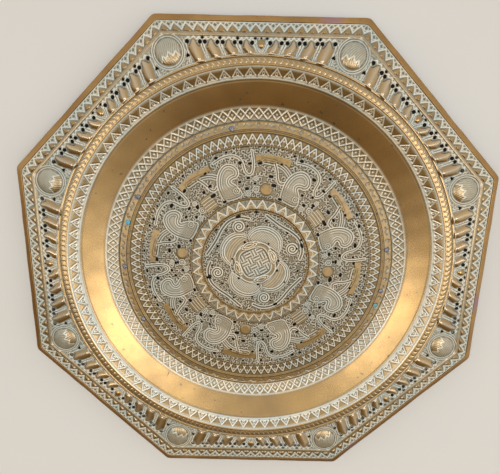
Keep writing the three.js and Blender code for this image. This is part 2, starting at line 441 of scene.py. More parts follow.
def corner_roundel(relief):
    """A domed disc at each corner, with feathered lines, a plain fan and two rings round it."""
    corner = (np.floor(relief.angle / SECTOR) + 0.5) * SECTOR
    outward = relief.radius * np.cos(relief.angle - corner) - CORNER_R
    aside = relief.radius * np.sin(relief.angle - corner)
    away = np.hypot(outward, aside)
    covered = fade(12.0, 12.6, away)
    relief.height = relief.height * (1 - covered)
    relief.gold = relief.gold * (1 - covered)
    relief.paint(covered, 0.16)
    relief.hole = np.where(away < 12.4, NO_HOLE, relief.hole)
    relief.claim(covered)
    swelling = np.clip(1 - (away / CORNER_DOME_R) ** 2, 0, 1) ** 0.75
    relief.height = relief.height + 2.1 * swelling - 0.25 * covered
    on_dome = fade(CORNER_DOME_R - 0.5, CORNER_DOME_R, away)
    feather = 0.5 + 0.5 * np.sin(2 * math.pi * (aside + 0.05 * outward**2 + 0.3 * outward) / 1.6)
    relief.paint(on_dome, 0.14 + 0.36 * feather**2)
    relief.polish(0.25 * on_dome)
    relief.height += 0.14 * (feather - 0.5) * on_dome
    fan_edge = -3.4 + 3.0 * zigzag(aside / 5.0) - 0.05 * aside**2
    fan = fade(fan_edge - 0.25, fan_edge + 0.1, outward) * on_dome
    relief.polish(0.7 * fan)
    relief.wipe(0.8 * fan)
    relief.draw((outward - fan_edge) * 0.5, 0.55, 0.2, on_dome)
    for ring in CORNER_RINGS:
        relief.draw(away - ring, 0.6, 0.35)
    for hand in (-1, 1):
        relief.pierce(np.hypot(outward - 7.6, aside - hand * 11.6) - 1.1)
        wedge = np.maximum(np.abs(aside - hand * 12.1) * 0.87 + (outward + 6.9) * 0.5, -(outward + 6.9))
        relief.pierce(wedge - 0.95)


def cable_ring(relief):
    """A plain round rib, then a row of slanting crescents, closed inwards by a fine double line."""
    r = relief.radius
    share = (r - CABLE_R) / CABLE_HALF
    turn = relief.repeats(CABLE_BEADS) - 0.2 * share - 0.5 * share**2
    gap = line(zigzag(turn + 0.5) * 2.3, 0.8)
    body = dome(share)
    relief.height = relief.height * fade(0, 0.2, body)
    relief.raise_form(body, 0.3, 0.85)
    relief.height -= 0.26 * gap * body
    relief.whiten(0.34 * gap * ease(0.2, 0.6, body))
    for place in (CABLE_R + CABLE_HALF + 0.9, CABLE_R - CABLE_HALF - 0.6):
        relief.round_rib(place, 0.8, 0.35, 0.9)
    for place in (158.4, 150.6):
        relief.circle(place, 0.55, 0.28, 0.8)


def triangle_ring(relief):
    """Outlined triangles pointing outwards, each with a drop, and plain domed ones between them."""
    low, high = TRIANGLE_BAND
    r = relief.radius
    phase = relief.repeats(TRIANGLES)
    band = within(r, low - 0.2, high + 0.5)
    gable = low + (high - low) * (1 - (1 - zigzag(phase)) / TRIANGLE_SPREAD)
    over = ease(0.3, 1.6, (r - gable) * 0.7) * band
    relief.polish(0.65 * band)
    relief.raise_form(over * fade(high - 0.4, high + 0.6, r), 0.3, 0.75)
    relief.draw((r - gable) * 0.66, 0.9, 0.36, band * (r > low - 0.4))
    relief.draw(r - low, 0.7, 0.26, gable > low, 0.9)
    pitch = 2 * math.pi * r / TRIANGLES
    aside = (phase - np.round(phase)) * pitch
    drop = np.hypot(aside / 0.8, (r - low - 1.5) / 1.15)
    relief.draw(drop - 1, 0.75, 0.22, band, 0.9)
    relief.circle(high + 0.6, 0.6, 0.2, 0.7)
    relief.circle(low - 1.1, 0.7, 0.26)
    relief.height -= 0.15 * line(r - low + 2.1, 0.7)


def lattice(relief, band, count, spread, apex_out, bare):
    """A band of crossing oblique lines with a dot in each cell."""
    low, high = band
    r = relief.radius
    tall = high - low
    pitch = 2 * math.pi * (low + high) / 2 / count
    phase = relief.repeats(count) + 0.06 * wander(relief.x, relief.y, 17)
    near = np.abs(phase - np.round(phase))
    mask = within(r, low - 0.1, high + 0.1)
    relief.polish(bare * mask)
    fall = tall / spread
    slant = 1 / math.hypot(1, fall / pitch)
    for far in (near, 1 - near):
        leg = high - far * fall if apex_out else low + far * fall
        relief.draw((r - leg) * slant, 0.8, 0.32, mask)
    cell = high - 0.42 * tall if apex_out else low + 0.5 * tall
    dot = np.hypot(near * pitch, r - cell)
    relief.draw(dot, 1.3, 0.22, mask, 0.9)
    foot = fade(low + 0.7, low + 1.6, r) * mask
    relief.whiten(0.2 * foot)


def wall(relief):
    """The plain wall keeps only the faint waves of the hammer and a double line round its foot."""
    r = relief.radius
    plain = within(r, LATTICE_OUT[1] + 0.8, TRIANGLE_BAND[0] - 2, 0.5)
    relief.height += plain * 0.03 * wander(relief.x, relief.y, 9)
    relief.height += plain * 0.12 * wander(relief.x, relief.y, 37)
    relief.polish(plain)
    for place in (LATTICE_OUT[1] + 0.5, LATTICE_OUT[1] + 1.5):
        relief.circle(place, 0.5, 0.16, 0.5)


def rim_relief(x, y):
    relief = Relief(x, y)
    along, reach = side_frame(relief)
    edge_band(relief, along, reach)
    lobes_of_side(relief, along, reach)
    corner_roundel(relief)
    rib(relief, reach)
    cable_ring(relief)
    triangle_ring(relief)
    lattice(relief, LATTICE_OUT, LATTICE_OUT_COUNT, 1.0, False, 0.6)
    wall(relief)
    only_field = (reach < RIB[0] - 0.4) & (relief.radius > FIELD_IN_R - 0.6)
    relief.hole = np.where(only_field, relief.hole, NO_HOLE)
    ground_rings(relief, only_field * 0.9, 2.8, 0.8)
    return relief


# ---- floor ornament ----

# Outline of a frieze figure: across it, and distance from the tray's centre, in mm.
FIGURE_OUTLINE = [
    (-7.2, 55.8), (-7.0, 61.0), (-4.6, 66.2), (-0.6, 70.2), (-3.4, 71.6), (-5.6, 71.2),
    (-8.9, 73.6), (-9.2, 78.2), (-6.4, 82.6), (-0.8, 84.8), (4.4, 82.6), (8.6, 77.2),
    (10.6, 69.6), (9.6, 61.6), (8.4, 55.8),
]
CREST_CORE = [(-4.6, 73.6), (-5.8, 76.2), (-3.6, 79.2), (0.4, 79.8), (4.0, 76.6), (5.8, 70.0)]
COLLAR = [
    (-24.0, 88.6), (-22.6, 79.6), (-19.8, 72.0), (-16.0, 70.6), (-13.6, 75.6), (-14.2, 83.4),
    (-9.8, 89.2), (-0.6, 90.6), (8.6, 88.0),
]
SWOOSH = [(9.8, 69.6), (13.6, 66.6), (17.0, 69.2), (20.0, 75.0), (24.4, 79.4)]
REINS = [(8.6, 76.2), (15.0, 79.8), (24.0, 80.0), (33.0, 77.2)]
# Chain, how busy the ground may be, half width, lines by their distance from the chain, height, paleness.
BANDS = (
    (COLLAR, (0.3, 0.8), 0.9, (0.9,), 0.34, 1.0),
    (SWOOSH, (0.5, 0.9), 0.9, (0.9,), 0.3, 1.0),
    (REINS, (0.4, 0.9), 3.0, (0.0, 1.8), 0.24, 0.9),
)
# Piercings round a figure: degrees from its middle, radius, size.
FRIEZE_HOLES = [
    (-17.4, 67.3, 0.9), (-12.1, 71.0, 0.8), (-7.4, 83.6, 1.1), (-6.8, 68.4, 0.8), (3.7, 91.2, 1.0),
    (8.3, 92.4, 0.8), (9.0, 56.8, 0.9), (12.4, 73.4, 0.9), (12.6, 83.4, 0.7), (14.6, 65.6, 1.2),
    (18.6, 72.6, 1.0), (22.0, 92.6, 0.7), (26.6, 82.2, 0.9), (27.8, 65.4, 0.7), (-12.6, 91.2, 0.8),
    (-14.0, 81.6, 0.8), (-3.0, 92.6, 0.6), (-10.8, 61.8, 0.9),
]


def frieze_figure(relief, across, up, ring):
    """A plump curled figure with nested contour lines, its eye, collar, reins and trailing band."""
    shape = outline(across, up, smoothed(FIGURE_OUTLINE, closed=True))
    inside = fade(-0.2, 0.3, shape)
    relief.height += 0.3 * fade(-2.0, 0.2, shape) * ring
    relief.whiten(0.38 * inside * ring)
    relief.claim(inside * ring)
    relief.draw(shape, 0.9, 0.36, ring)
    crest = ease(64.0, 68.0, up)
    for depth in (1.9, 3.8):
        relief.draw(shape + depth, 0.8, 0.2, np.maximum(crest, 0.45) * inside * ring, 0.95)
    core = stroke(across, up, smoothed(CREST_CORE))
    relief.wipe(0.35 * line(core, 1.4) * inside * ring)
    speckle = 0.5 + 0.5 * np.sin(3.6 * across) * np.sin(3.6 * up)
    lower = inside * (1 - crest) * ring
    relief.wipe(0.6 * speckle * lower)
    relief.height -= 0.1 * speckle * lower
    eye = np.hypot(across + 3.6, up - 61.8)
    for size in (0.9, 2.3):
        relief.draw(eye - size, 0.6, 0.25, ring)
    relief.wipe(0.7 * line(eye - 1.6, 0.7) * ring)


def figure_bands(relief, across, up, ring):
    """The double-lined collar, swoosh and reins that run round a figure."""
    for chain, free, half, offsets, height, pale in BANDS:
        away = stroke(across, up, smoothed(chain))
        clear = ring * fade(*free, relief.busy)
        for offset in offsets:
            relief.draw(away - offset, 0.75, height, clear, pale)
        if chain is COLLAR:
            relief.height += 0.15 * fade(0.4, 0.9, away) * clear
        relief.claim(fade(half, half + 0.4, away) * ring)


def golden_bar(relief, off, ring):
    """A plain raised bar with a serrated outer edge, between two figures."""
    place = wrap(off - math.radians(18.3)) * 87
    r = relief.radius
    top = 89.0 + 1.3 * zigzag(place / 3.1) - 0.06 * np.abs(place)
    low = 83.4 + 0.7 * np.sin(0.8 * place + 3 * relief.angle)
    end = fade(14.6, 15.6, np.abs(place))
    body = ease(low - 0.35, low + 0.35, r) * fade(top - 0.4, top + 0.2, r) * end * ring
    relief.raise_form(body, 0.42, 0.85)
    relief.draw(r - top, 0.5, 0.18, end * ring)


def small_motifs(relief, off, even, ring):
    """A hatched trapezoid or a plain disc low between two figures, and two rosettes beside it."""
    r = relief.radius
    aside = wrap(off - math.radians(20.2)) * 62
    half = 5.6 - 0.12 * (r - 62)
    block = fade(half - 0.3, half + 0.2, np.abs(aside)) * within(r, 56.6, 68.4, 0.3)
    disc = np.hypot(aside, r - 61.6) / 5.5
    relief.raise_form(block * even * ring, 0.3, 0.6)
    for place in (59.0, 61.4, 63.8, 66.2):
        relief.draw(r - place, 0.55, 0.22, block * even * ring, 0.75)
    relief.raise_form(ease(0, 0.35, 1 - disc) * (1 - even) * ring, 0.5, 0.8)
    for degrees, place, size in ((27.6, 61.6, 2.3), (27.8, 70.0, 1.7), (-11.6, 58.4, 1.9)):
        away = np.hypot(wrap(off - math.radians(degrees)) * place, r - place)
        clear = ring * fade(0.5, 0.9, relief.busy)
        relief.draw(away - size, 0.6, 0.3, clear)
        relief.draw(away - 0.4 * size, 0.6, 0.25, clear)
        relief.claim(fade(size, size + 0.5, away) * ring)


def frieze(relief):
    r = relief.radius
    ring = within(r, FRIEZE_IN_R + 0.6, FRIEZE_OUT_R - 0.6, 0.3)
    relief.whiten(0.2 * ring)
    relief.height -= 0.25 * ring
    step = 2 * math.pi / FIGURES
    turned = relief.angle - FIGURE_ANGLE + 0.011 * wander(relief.x, relief.y, 23)
    for shift in (-1, 0, 1):
        number = np.round(turned / step) + shift
        off = turned - number * step
        even = (np.round(number) % 2 == 0).astype(float)
        across = r * np.sin(off)
        up = r * np.cos(off)
        if shift == 0:
            frieze_figure(relief, across, up, ring)
        near = ring * (np.abs(off) < 0.62)
        figure_bands(relief, across, up, near)
        golden_bar(relief, off, near)
        small_motifs(relief, off, even, near)
    frieze_piercings(relief, turned, step)
    ground_rings(relief, ring, 3.5, 0.92)


def frieze_piercings(relief, turned, step):
    """Black holes scattered in the ground, a little different from figure to figure."""
    for number in range(FIGURES):
        for i, (degrees, place, size) in enumerate(FRIEZE_HOLES):
            jitter = hashed(number, i)
            if jitter > 0.88:
                continue
            away = wrap(turned - number * step - math.radians(degrees + 2.4 * (jitter - 0.45)))
            lengthwise = away * place / (1.15 + 0.7 * hashed(i, number))
            crosswise = relief.radius - place - 1.2 * (hashed(number + i, 5) - 0.5)
            hole = np.hypot(lengthwise, crosswise) - 1.15 * size
            relief.pierce(hole)
            relief.draw(hole - 0.35, 0.4, 0.12, 1 - relief.gold, 0.6)


def inner_triangles(relief):
    """Golden triangles standing on the inner line, with pale inverted ones between them."""
    r = relief.radius
    ring = within(r, ROUNDEL_R + 0.4, FRIEZE_IN_R - 0.4)
    phase = relief.repeats(INNER_TRIANGLES)
    low, high = ROUNDEL_R + 1.0, FRIEZE_IN_R - 1.2
    gable = low + (high - low) * zigzag(phase)
    relief.whiten(0.18 * ring)
    body = fade(gable - 0.9, gable - 0.3, r) * ring
    relief.raise_form(body, 0.3, 0.85)
    relief.draw((r - gable) * 0.52, 0.85, 0.32, ring)
    pitch = 2 * math.pi * r / INNER_TRIANGLES
    aside = (phase - np.round(phase)) * pitch
    between = 0.5 * pitch - np.abs(aside)
    lozenge = between / 1.0 + np.abs(r - high + 1.9) / 1.7 - 1
    dark = fade(-0.3, 0.3, lozenge) * ring
    relief.wipe(0.5 * dark)
    relief.height -= 0.12 * dark
    arch = np.hypot(aside / 2.4, (r - low) / 2.6)
    relief.draw((arch - 1) * 2.4, 0.5, 0.12, ring, 0.5)


def smooth_ring(relief):
    """The plain rosy ring between two ribs, engraved with alternating strokes and scrolls."""
    r = relief.radius
    plain = within(r, INNER_RIB_R, OUTER_RIB_R - 0.6, 0.4)
    relief.raise_form(plain, SMOOTH_RING_RISE, 0.95)
    relief.whiten(0.07 * plain)
    for place, half in ((OUTER_RIB_R, 0.55), (INNER_RIB_R, 0.75)):
        relief.round_rib(place, half, 0.5)
        relief.whiten(0.45 * line(np.abs(r - place) - half - 0.25, 0.4))
    phase = relief.repeats(SMOOTH_RING_MARKS)
    cell = phase - np.floor(phase)
    aside = (cell - 0.5) * SMOOTH_RING_PITCH
    out = r - SMOOTH_RING_MIDDLE
    zig = line((out - 0.8 * (2 * zigzag(cell * 1.5) - 1)) * 0.75, 0.7) * (np.abs(aside) < 3.4)
    scroll = line(np.hypot(aside, out) - 1.3, 0.7) * (aside + 0.6 * out > -0.7)
    mark = np.where(np.floor(phase) % 2 > 0, zig, scroll)
    relief.height -= 0.3 * mark
    relief.whiten(0.85 * mark)


def swirl_body(relief, degrees, turn, stippled):
    """A crescent body that sweeps round the knot, plain or stippled, edged with parallel lines."""
    off = wrap(relief.angle - math.radians(degrees)) * turn
    r = relief.radius
    along = off / SWIRL_HALF
    outer = 20.5 + 12.0 * np.clip(1 - (np.abs(along + 0.12)) ** 2.4, 0, 1)
    inner = 18.0 + 3.2 * ease(0.2, 1.0, along)
    inside = fade(outer - 0.2, outer + 0.3, r) * ease(inner - 0.3, inner + 0.2, r)
    inside = inside * fade(0.97, 1.02, np.abs(along))
    share = (r - inner) / (outer - inner + 1) * 2 - 1
    relief.height += 0.55 * inside * dome(share)
    stipple = np.sin(2.9 * relief.x) * np.sin(2.9 * relief.y)
    hatch = np.sin(3.1 * r + 5 * off)
    tone = 0.36 + 0.32 * stipple if stippled else 0.2 + 0.18 * hatch
    relief.paint(inside, tone)
    relief.polish((0.2 if stippled else 0.6) * inside)
    relief.claim(inside)
    span = fade(0.95, 1.05, np.abs(along))
    for depth in (0.0, 2.0, 4.0):
        relief.draw(r - outer + depth, 0.85, 0.26, span * (r > inner - 0.5))
    relief.draw(r - inner, 0.8, 0.3, span)


def spiral(relief, degrees, place, size):
    x = relief.x - place * math.cos(math.radians(degrees))
    y = relief.y - place * math.sin(math.radians(degrees))
    away = np.hypot(x, y)
    turn = away / 2.1 - np.arctan2(y, x) / (2 * math.pi)
    ridge = 0.5 + 0.5 * np.cos(2 * math.pi * turn)
    mask = fade(size - 0.4, size + 0.2, away)
    clear = mask * (1 - 0.7 * relief.busy)
    relief.wipe(mask)
    relief.height += 0.3 * ridge * clear
    relief.whiten(ridge * clear)
    relief.polish(0.8 * fade(0.6, 1.1, away))
    relief.claim(mask)


def tail(relief, degrees):
    """Two parallel lines that run from a spiral round to the back of the next body."""
    turned = relief.angle - math.radians(degrees)
    x, y = relief.radius * np.cos(turned), relief.radius * np.sin(turned)
    chain = [(place * math.cos(math.radians(a)), place * math.sin(math.radians(a))) for a, place in TAIL]
    away = stroke(x, y, smoothed(chain))
    clear = fade(0.3, 0.8, relief.busy)
    relief.draw(away - 1.15, 0.85, 0.32, clear)
    relief.claim(fade(1.6, 2.1, away) * clear)


def knot(relief):
    """Four almond loops joined in a ring round a square of basket weave."""
    a = relief.x * math.cos(KNOT_TILT) + relief.y * math.sin(KNOT_TILT)
    b = relief.y * math.cos(KNOT_TILT) - relief.x * math.sin(KNOT_TILT)
    r = relief.radius
    reach = np.maximum(np.abs(a), np.abs(b))
    inside = fade(11.0, 11.6, reach * 0.62 + r * 0.38)
    relief.paint(inside, 0.15)
    block = (np.floor(a / WEAVE_BLOCK) + np.floor(b / WEAVE_BLOCK)) % 2
    weave = 0.5 + 0.5 * np.cos(2 * math.pi * np.where(block > 0, a, b) / 2.6)
    relief.height += 0.22 * weave * inside
    relief.whiten(0.85 * weave * inside)
    relief.claim(fade(KNOT_R, KNOT_R + 0.6, r))
    ring = r + 0.9 * np.cos(4 * (relief.angle - math.radians(20)))
    for place in KNOT_RINGS:
        relief.draw(ring - place, 0.85, 0.36)
    relief.raise_form(within(ring, KNOT_RINGS[0] + 0.5, KNOT_RINGS[1] - 0.5, 0.3), 0.25, 0.55)
    for k in range(4):
        turn = wrap(relief.angle - math.radians(21 + 90 * k))
        along = turn * 15.2
        off = r - 15.6
        near = np.abs(turn) < 0.7
        almond = np.abs(off) - 2.9 * np.clip(1 - (along / 6.8) ** 2, 0, 1)
        core = np.abs(off) - 1.3 * np.clip(1 - (along / 4.2) ** 2, 0, 1)
        relief.raise_form(fade(-0.4, 0.0, almond) * near * (np.abs(along) < 6.8), 0.3)
        relief.draw(almond, 0.85, 0.32, near * (np.abs(along) < 6.8))
        relief.draw(core, 0.6, 0.25, near * (np.abs(along) < 4.2))


def roundel_piercings(relief):
    """Four long holes near the roundel's edge and smaller ones scattered inside it."""
    for degrees, place, length in LONG_HOLES:
        away = wrap(relief.angle - math.radians(degrees)) * place
        relief.pierce(np.hypot(away / length, (relief.radius - place) / 1.15) - 1.0)
    for i in range(SMALL_HOLES):
        degrees = 360 * (i + 0.6 * hashed(i, 2)) / SMALL_HOLES
        place = (19.6, 36.5, 42.6, 25.0 + 14 * hashed(i, 9))[i % 4]
        away = np.hypot(wrap(relief.angle - math.radians(degrees)) * place / 1.3, relief.radius - place)
        relief.pierce(away - 0.62 - 0.3 * hashed(i, 4))


def roundel(relief):
    r = relief.radius
    disc = fade(ROUNDEL_R - 0.8, ROUNDEL_R - 0.4, r)
    relief.whiten(0.12 * disc)
    relief.height -= 0.2 * disc
    for degrees, turn, stippled in SWIRLS:
        swirl_body(relief, degrees, turn, stippled)
    for degrees, place in SPIRALS:
        spiral(relief, degrees, place, SPIRAL_R)
    for degrees, _ in SPIRALS:
        tail(relief, degrees)
    knot(relief)
    roundel_piercings(relief)
    ground_rings(relief, disc * ease(18.0, 19.0, r), 3.3, 0.92)


def plate_relief(x, y):
    relief = Relief(x, y)
    smooth_ring(relief)
    lattice(relief, LATTICE_IN, LATTICE_IN_COUNT, 0.7, True, 0.5)
    frieze(relief)
    inner_triangles(relief)
    roundel(relief)
    for place in (FRIEZE_OUT_R, FRIEZE_IN_R, ROUNDEL_R, ROUNDEL_R - 1.2, FRIEZE_OUT_R + 10.2):
        relief.round_rib(place, 0.6, 0.4, 0.8)
    in_frieze = (relief.radius < FRIEZE_OUT_R - 0.8) & (relief.radius > FRIEZE_IN_R + 1.2)
    relief.hole = np.where(in_frieze | (relief.radius < ROUNDEL_R - 1.8), relief.hole, NO_HOLE)
    return relief


# ---- mesh building ----


def octagon_share(angle):
    """Radius of the rounded octagon of unit apothem at each angle."""
    off = angle - np.round(angle / SECTOR) * SECTOR
    near = np.cos(off) ** CORNER_POWER
    far = np.cos(SECTOR - np.abs(off)) ** CORNER_POWER
    return (near + far) ** (-1 / CORNER_POWER)


def rim_grid():
    """Places and base heights of the rim's mesh, row by row from the edge inwards."""
    angle = np.arange(RIM_COLUMNS) / RIM_COLUMNS * 2 * math.pi
    octagon = octagon_share(angle)
    rows = []
    for (*here, steps), (*beyond, _) in zip(RIM_PROFILE, RIM_PROFILE[1:]):
        for i in range(steps):
            rows.append([a + i / steps * (b - a) for a, b in zip(here, beyond)])
    rows.append(RIM_PROFILE[-1][:3])
    reach, base, rounded = (np.array(column)[:, None] for column in zip(*rows))
    radius = reach * (octagon[None, :] * (1 - rounded) + rounded)
    return radius * np.cos(angle), radius * np.sin(angle), np.broadcast_to(base, radius.shape).copy()


def snap_to_contour(x, y, relief_of, hole, reach):
    """Moves grid points that lie close to a piercing's edge onto it."""
    step = 0.05
    slope_x = (relief_of(x + step, y).hole - hole) / step
    slope_y = (relief_of(x, y + step).hole - hole) / step
    steep = np.maximum(slope_x**2 + slope_y**2, 0.25)
    close = np.abs(hole) < reach
    x = np.where(close, x - hole * slope_x / steep, x)
    y = np.where(close, y - hole * slope_y / steep, y)
    return x, y, close


def corner_values(field):
    """The values at the four corners of every cell of a grid that closes on itself across."""
    beside = np.roll(field, -1, axis=1)
    return np.stack([field[:-1], field[1:], beside[:-1], beside[1:]])


def kept_faces(hole, close):
    """True for each cell of the grid that isn't inside a piercing."""
    keep = corner_values((hole > 0) | close).all(axis=0)
    held = corner_values(close).all(axis=0)
    return keep & ~(held & (corner_values(hole).sum(axis=0) < 0))


def grid_faces(keep, columns, first=0, flip=False):
    i, j = np.nonzero(keep)
    k = (j + 1) % columns
    quads = np.stack([i * columns + j, (i + 1) * columns + j, (i + 1) * columns + k, i * columns + k], 1)
    quads = quads + first
    return quads[:, ::-1] if flip else quads


def hole_edges(keep, columns):
    """Edges between a kept cell and a removed one, turned so that a wall hung from them faces the hole."""
    left = np.roll(keep, 1, axis=1)
    outer, inner = keep[:-1], keep[1:]
    # The cells on each kind of edge, and its two ends: rows and columns on from the cell's first corner.
    kinds = [
        (keep & ~left, (0, 0), (1, 0)),
        (~keep & left, (1, 0), (0, 0)),
        (outer & ~inner, (1, 0), (1, 1)),
        (~outer & inner, (1, 1), (1, 0)),
    ]
    edges = []
    for cells, *ends in kinds:
        i, j = np.nonzero(cells)
        edges.append(np.stack([(i + down) * columns + (j + along) % columns for down, along in ends], 1))
    return np.concatenate(edges)


def make_piece(name, points, groups, layers, material, replaced):
    """A mesh object in metres, in place of a CAD node, from points in mm and groups of alike faces."""
    mesh = bpy.data.meshes.new(name)
    counts = np.concatenate([np.full(len(group), group.shape[1]) for group in groups])
    corners = np.concatenate([group.ravel() for group in groups])
    mesh.vertices.add(len(points))
    mesh.vertices.foreach_set("co", (points * MM).astype(np.float32).ravel())
    mesh.loops.add(len(corners))
    mesh.loops.foreach_set("vertex_index", corners.astype(np.int32))
    mesh.polygons.add(len(counts))
    mesh.polygons.foreach_set("loop_start", np.concatenate([[0], np.cumsum(counts)[:-1]]).astype(np.int32))
    mesh.polygons.foreach_set("loop_total", counts.astype(np.int32))
    mesh.update(calc_edges=True)
    mesh.validate()
    mesh.polygons.foreach_set("use_smooth", np.ones(len(mesh.polygons), bool))
    for key, values in layers.items():
        layer = mesh.attributes.new(key, "FLOAT", "POINT")
        layer.data.foreach_set("value", values.astype(np.float32).ravel())
    mesh.materials.append(material)
    piece = bpy.data.objects.new(name, mesh)
    bpy.context.scene.collection.objects.link(piece)
    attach(piece, "root")
    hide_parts(replaced)
    return piece


def box_blur(field, rows, columns):
    """Averages over neighbours, round the ring and along the rows."""
    total = sum(np.roll(field, s, axis=1) for s in range(-columns, columns + 1)) / (2 * columns + 1)
    padded = np.pad(total, ((rows, rows), (0, 0)), mode="edge")
    return sum(padded[s : s + field.shape[0]] for s in range(2 * rows + 1)) / (2 * rows + 1)


def pierced_sheet(x, y, base, relief_of, spacing):
    """Face, back and hole walls of a chased sheet given on a ring-shaped grid, innermost row last.

    Returns points, four-cornered faces, vertex layers, and the back's first point and shape.
    """
    relief = relief_of(x, y)
    x, y, close = snap_to_contour(x, y, relief_of, relief.hole, SNAP * spacing)
    keep = kept_faces(relief.hole, close)
    z = base + relief.height
    face = np.stack([x, y, z], -1).reshape(-1, 3)
    edges = hole_edges(keep, x.shape[1])
    rim_ids, places = np.unique(edges, return_inverse=True)
    places = places.reshape(edges.shape) + len(face)
    hung = face[rim_ids] - np.array([0, 0, SHEET + 0.1])
    walls = np.stack([edges[:, 1], edges[:, 0], places[:, 0], places[:, 1]], 1)

    coarse = (slice(None, None, BACK_STEP),) * 2
    soft = box_blur(z, 2, 2)[coarse]
    back_hole = relief.hole[coarse]
    reach = SNAP * spacing * BACK_STEP
    back_x, back_y, back_close = snap_to_contour(x[coarse], y[coarse], relief_of, back_hole, reach)
    back = np.stack([back_x, back_y, soft - SHEET], -1).reshape(-1, 3)
    first = len(face) + len(hung)
    back_faces = grid_faces(kept_faces(back_hole, back_close), soft.shape[1], first, flip=True)

    unseen = np.zeros(len(hung) + len(back))
    # Painted shade: how far each point lies below its blurred surroundings, used to darken recesses towards
    # near-black.
    recess_shade = np.clip((box_blur(relief.height, 2, 3) - relief.height) / HOLLOW_DEPTH, 0, 1)
    shown = {"pale": relief.pale, "gold": relief.gold, "recess_shade": recess_shade, "under": np.zeros(x.shape)}
    layers = {key: np.concatenate([value.ravel(), unseen]) for key, value in shown.items()}
    # Painted shade: the hole walls and the back are coloured near-black, and the face round each piercing's
    # edge is darkened part way.
    layers["under"][len(face) :] = 1
    layers["under"][rim_ids] = 0.4
    faces = np.concatenate([grid_faces(keep, x.shape[1]), walls, back_faces])
    return np.concatenate([face, hung, back]), faces, layers, first, soft.shape


def last_row(first, rows, columns):
    return first + np.arange((rows - 1) * columns, rows * columns)


def stitch(front_row, columns, back_first, flip):
    """Faces that join a row of the face to the coarser row of the back below it."""
    j = np.arange(columns // BACK_STEP)
    a, b, c = front_row + 2 * j, front_row + 2 * j + 1, front_row + (2 * j + 2) % columns
    p, q = back_first + j, back_first + (j + 1) % (columns // BACK_STEP)
    faces = [np.stack([a, b, p], 1), np.stack([b, c, q], 1), np.stack([b, q, p], 1)]
    joined = np.concatenate(faces)
    return joined[:, ::-1] if flip else joined


def build_rim(material):
    x, y, base = rim_grid()
    points, faces, layers, first, back_shape = pierced_sheet(x, y, base, rim_relief, 0.5)
    outer = stitch(0, RIM_COLUMNS, first, True)
    inner = stitch(last_row(0, *x.shape)[0], RIM_COLUMNS, last_row(first, *back_shape)[0], False)
    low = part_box("rim_and_wall")[0].z / MM
    points[:, 2] = np.clip(points[:, 2], low, TOP_LIMIT)
    groups = [faces, outer, inner]
    return make_piece("tray_rim_and_wall", points, groups, layers, material, "rim_and_wall")


def plate_grid(columns, outer, inner, rows):
    angle = np.arange(columns) / columns * 2 * math.pi
    radius = np.linspace(outer, inner, rows + 1)[:, None]
    x, y = radius * np.cos(angle), radius * np.sin(angle)
    return x, y, np.full(x.shape, PLATE_FACE)


def build_plate(material):
    """The floor in two grids, a ring and a coarser disc inside it, joined where they meet."""
    ring = plate_grid(PLATE_COLUMNS, PLATE_R, ROUNDEL_R, PLATE_ROWS)
    disc = plate_grid(PLATE_COLUMNS // 2, ROUNDEL_R, DISC_IN_R, ROUNDEL_ROWS)
    points, faces, layers, first, _ = pierced_sheet(*ring, plate_relief, 0.5)
    points2, faces2, layers2, first2, back_shape = pierced_sheet(*disc, plate_relief, 0.45)
    offset = len(points)
    edge = stitch(0, PLATE_COLUMNS, first, True)
    seam = stitch(last_row(0, *ring[0].shape)[0], PLATE_COLUMNS, offset, False)
    face_end = last_row(offset, *disc[0].shape)
    back_end = last_row(offset + first2, *back_shape)
    groups = [faces, edge, faces2 + offset, face_end[None], back_end[None, ::-1], seam]
    merged = {key: np.concatenate([layers[key], layers2[key]]) for key in layers}
    points = np.concatenate([points, points2])
    points[:, 2] = np.clip(points[:, 2], PLATE_BACK, None)
    return make_piece("pierced_floor", points, groups, merged, material, "floor_plate")


def binding_section():
    """Section of the folded strip: [reach, height], clockwise from the upper leaf's inner end."""
    top = BINDING_TOP
    low = BINDING_LOW
    edge = APOTHEM
    return [
        (178.75, top - 0.6), (178.65, top - 0.3), (178.8, top - 0.04), (179.1, top - 0.03),
        (179.9, top - 0.32), (180.9, top - 0.72), (181.9, top - 1.12), (182.6, top - 1.42),
        (edge, top - 1.9), (edge, top - 2.9), (edge, top - 3.9), (182.8, low + 0.35),
        (182.3, low + 0.0), (181.6, low + 0.2), (180.2, low + 0.9), (178.8, low + 1.4),
        (178.8, low + 1.9), (180.2, low + 1.45), (181.6, low + 0.9), (182.2, low + 1.1),
        (182.2, top - 2.4), (180.9, top - 1.5), (179.6, top - 0.95),
    ]


def build_binding(material):
    section = binding_section()
    angle = np.arange(BINDING_COLUMNS) / BINDING_COLUMNS * 2 * math.pi
    octagon = octagon_share(angle)
    off = np.abs(angle - np.round(angle / SECTOR) * SECTOR)
    fixed = ease(0.02, 0.1, off)
    rings = []
    for reach, z in section:
        wave = 0.16 * np.sin(9 * angle + 0.3 * reach) + 0.12 * np.sin(23 * angle + 1)
        held = reach - np.abs(wave) * fixed
        radius = held * octagon
        dip = 0.1 * np.abs(np.sin(31 * angle) * np.sin(5 * angle + 2))
        height = z - dip * (z > BINDING_LOW + 1)
        rings.append(np.stack([radius * np.cos(angle), radius * np.sin(angle), height], -1))
    points = np.concatenate(rings)
    points[:, 2] = np.clip(points[:, 2], BINDING_LOW, BINDING_TOP)
    keep = np.ones((len(section), BINDING_COLUMNS), bool)
    faces = grid_faces(keep, BINDING_COLUMNS) % len(points)
    return make_piece("folded_edge_binding", points, [faces], {}, material, "edge_binding")


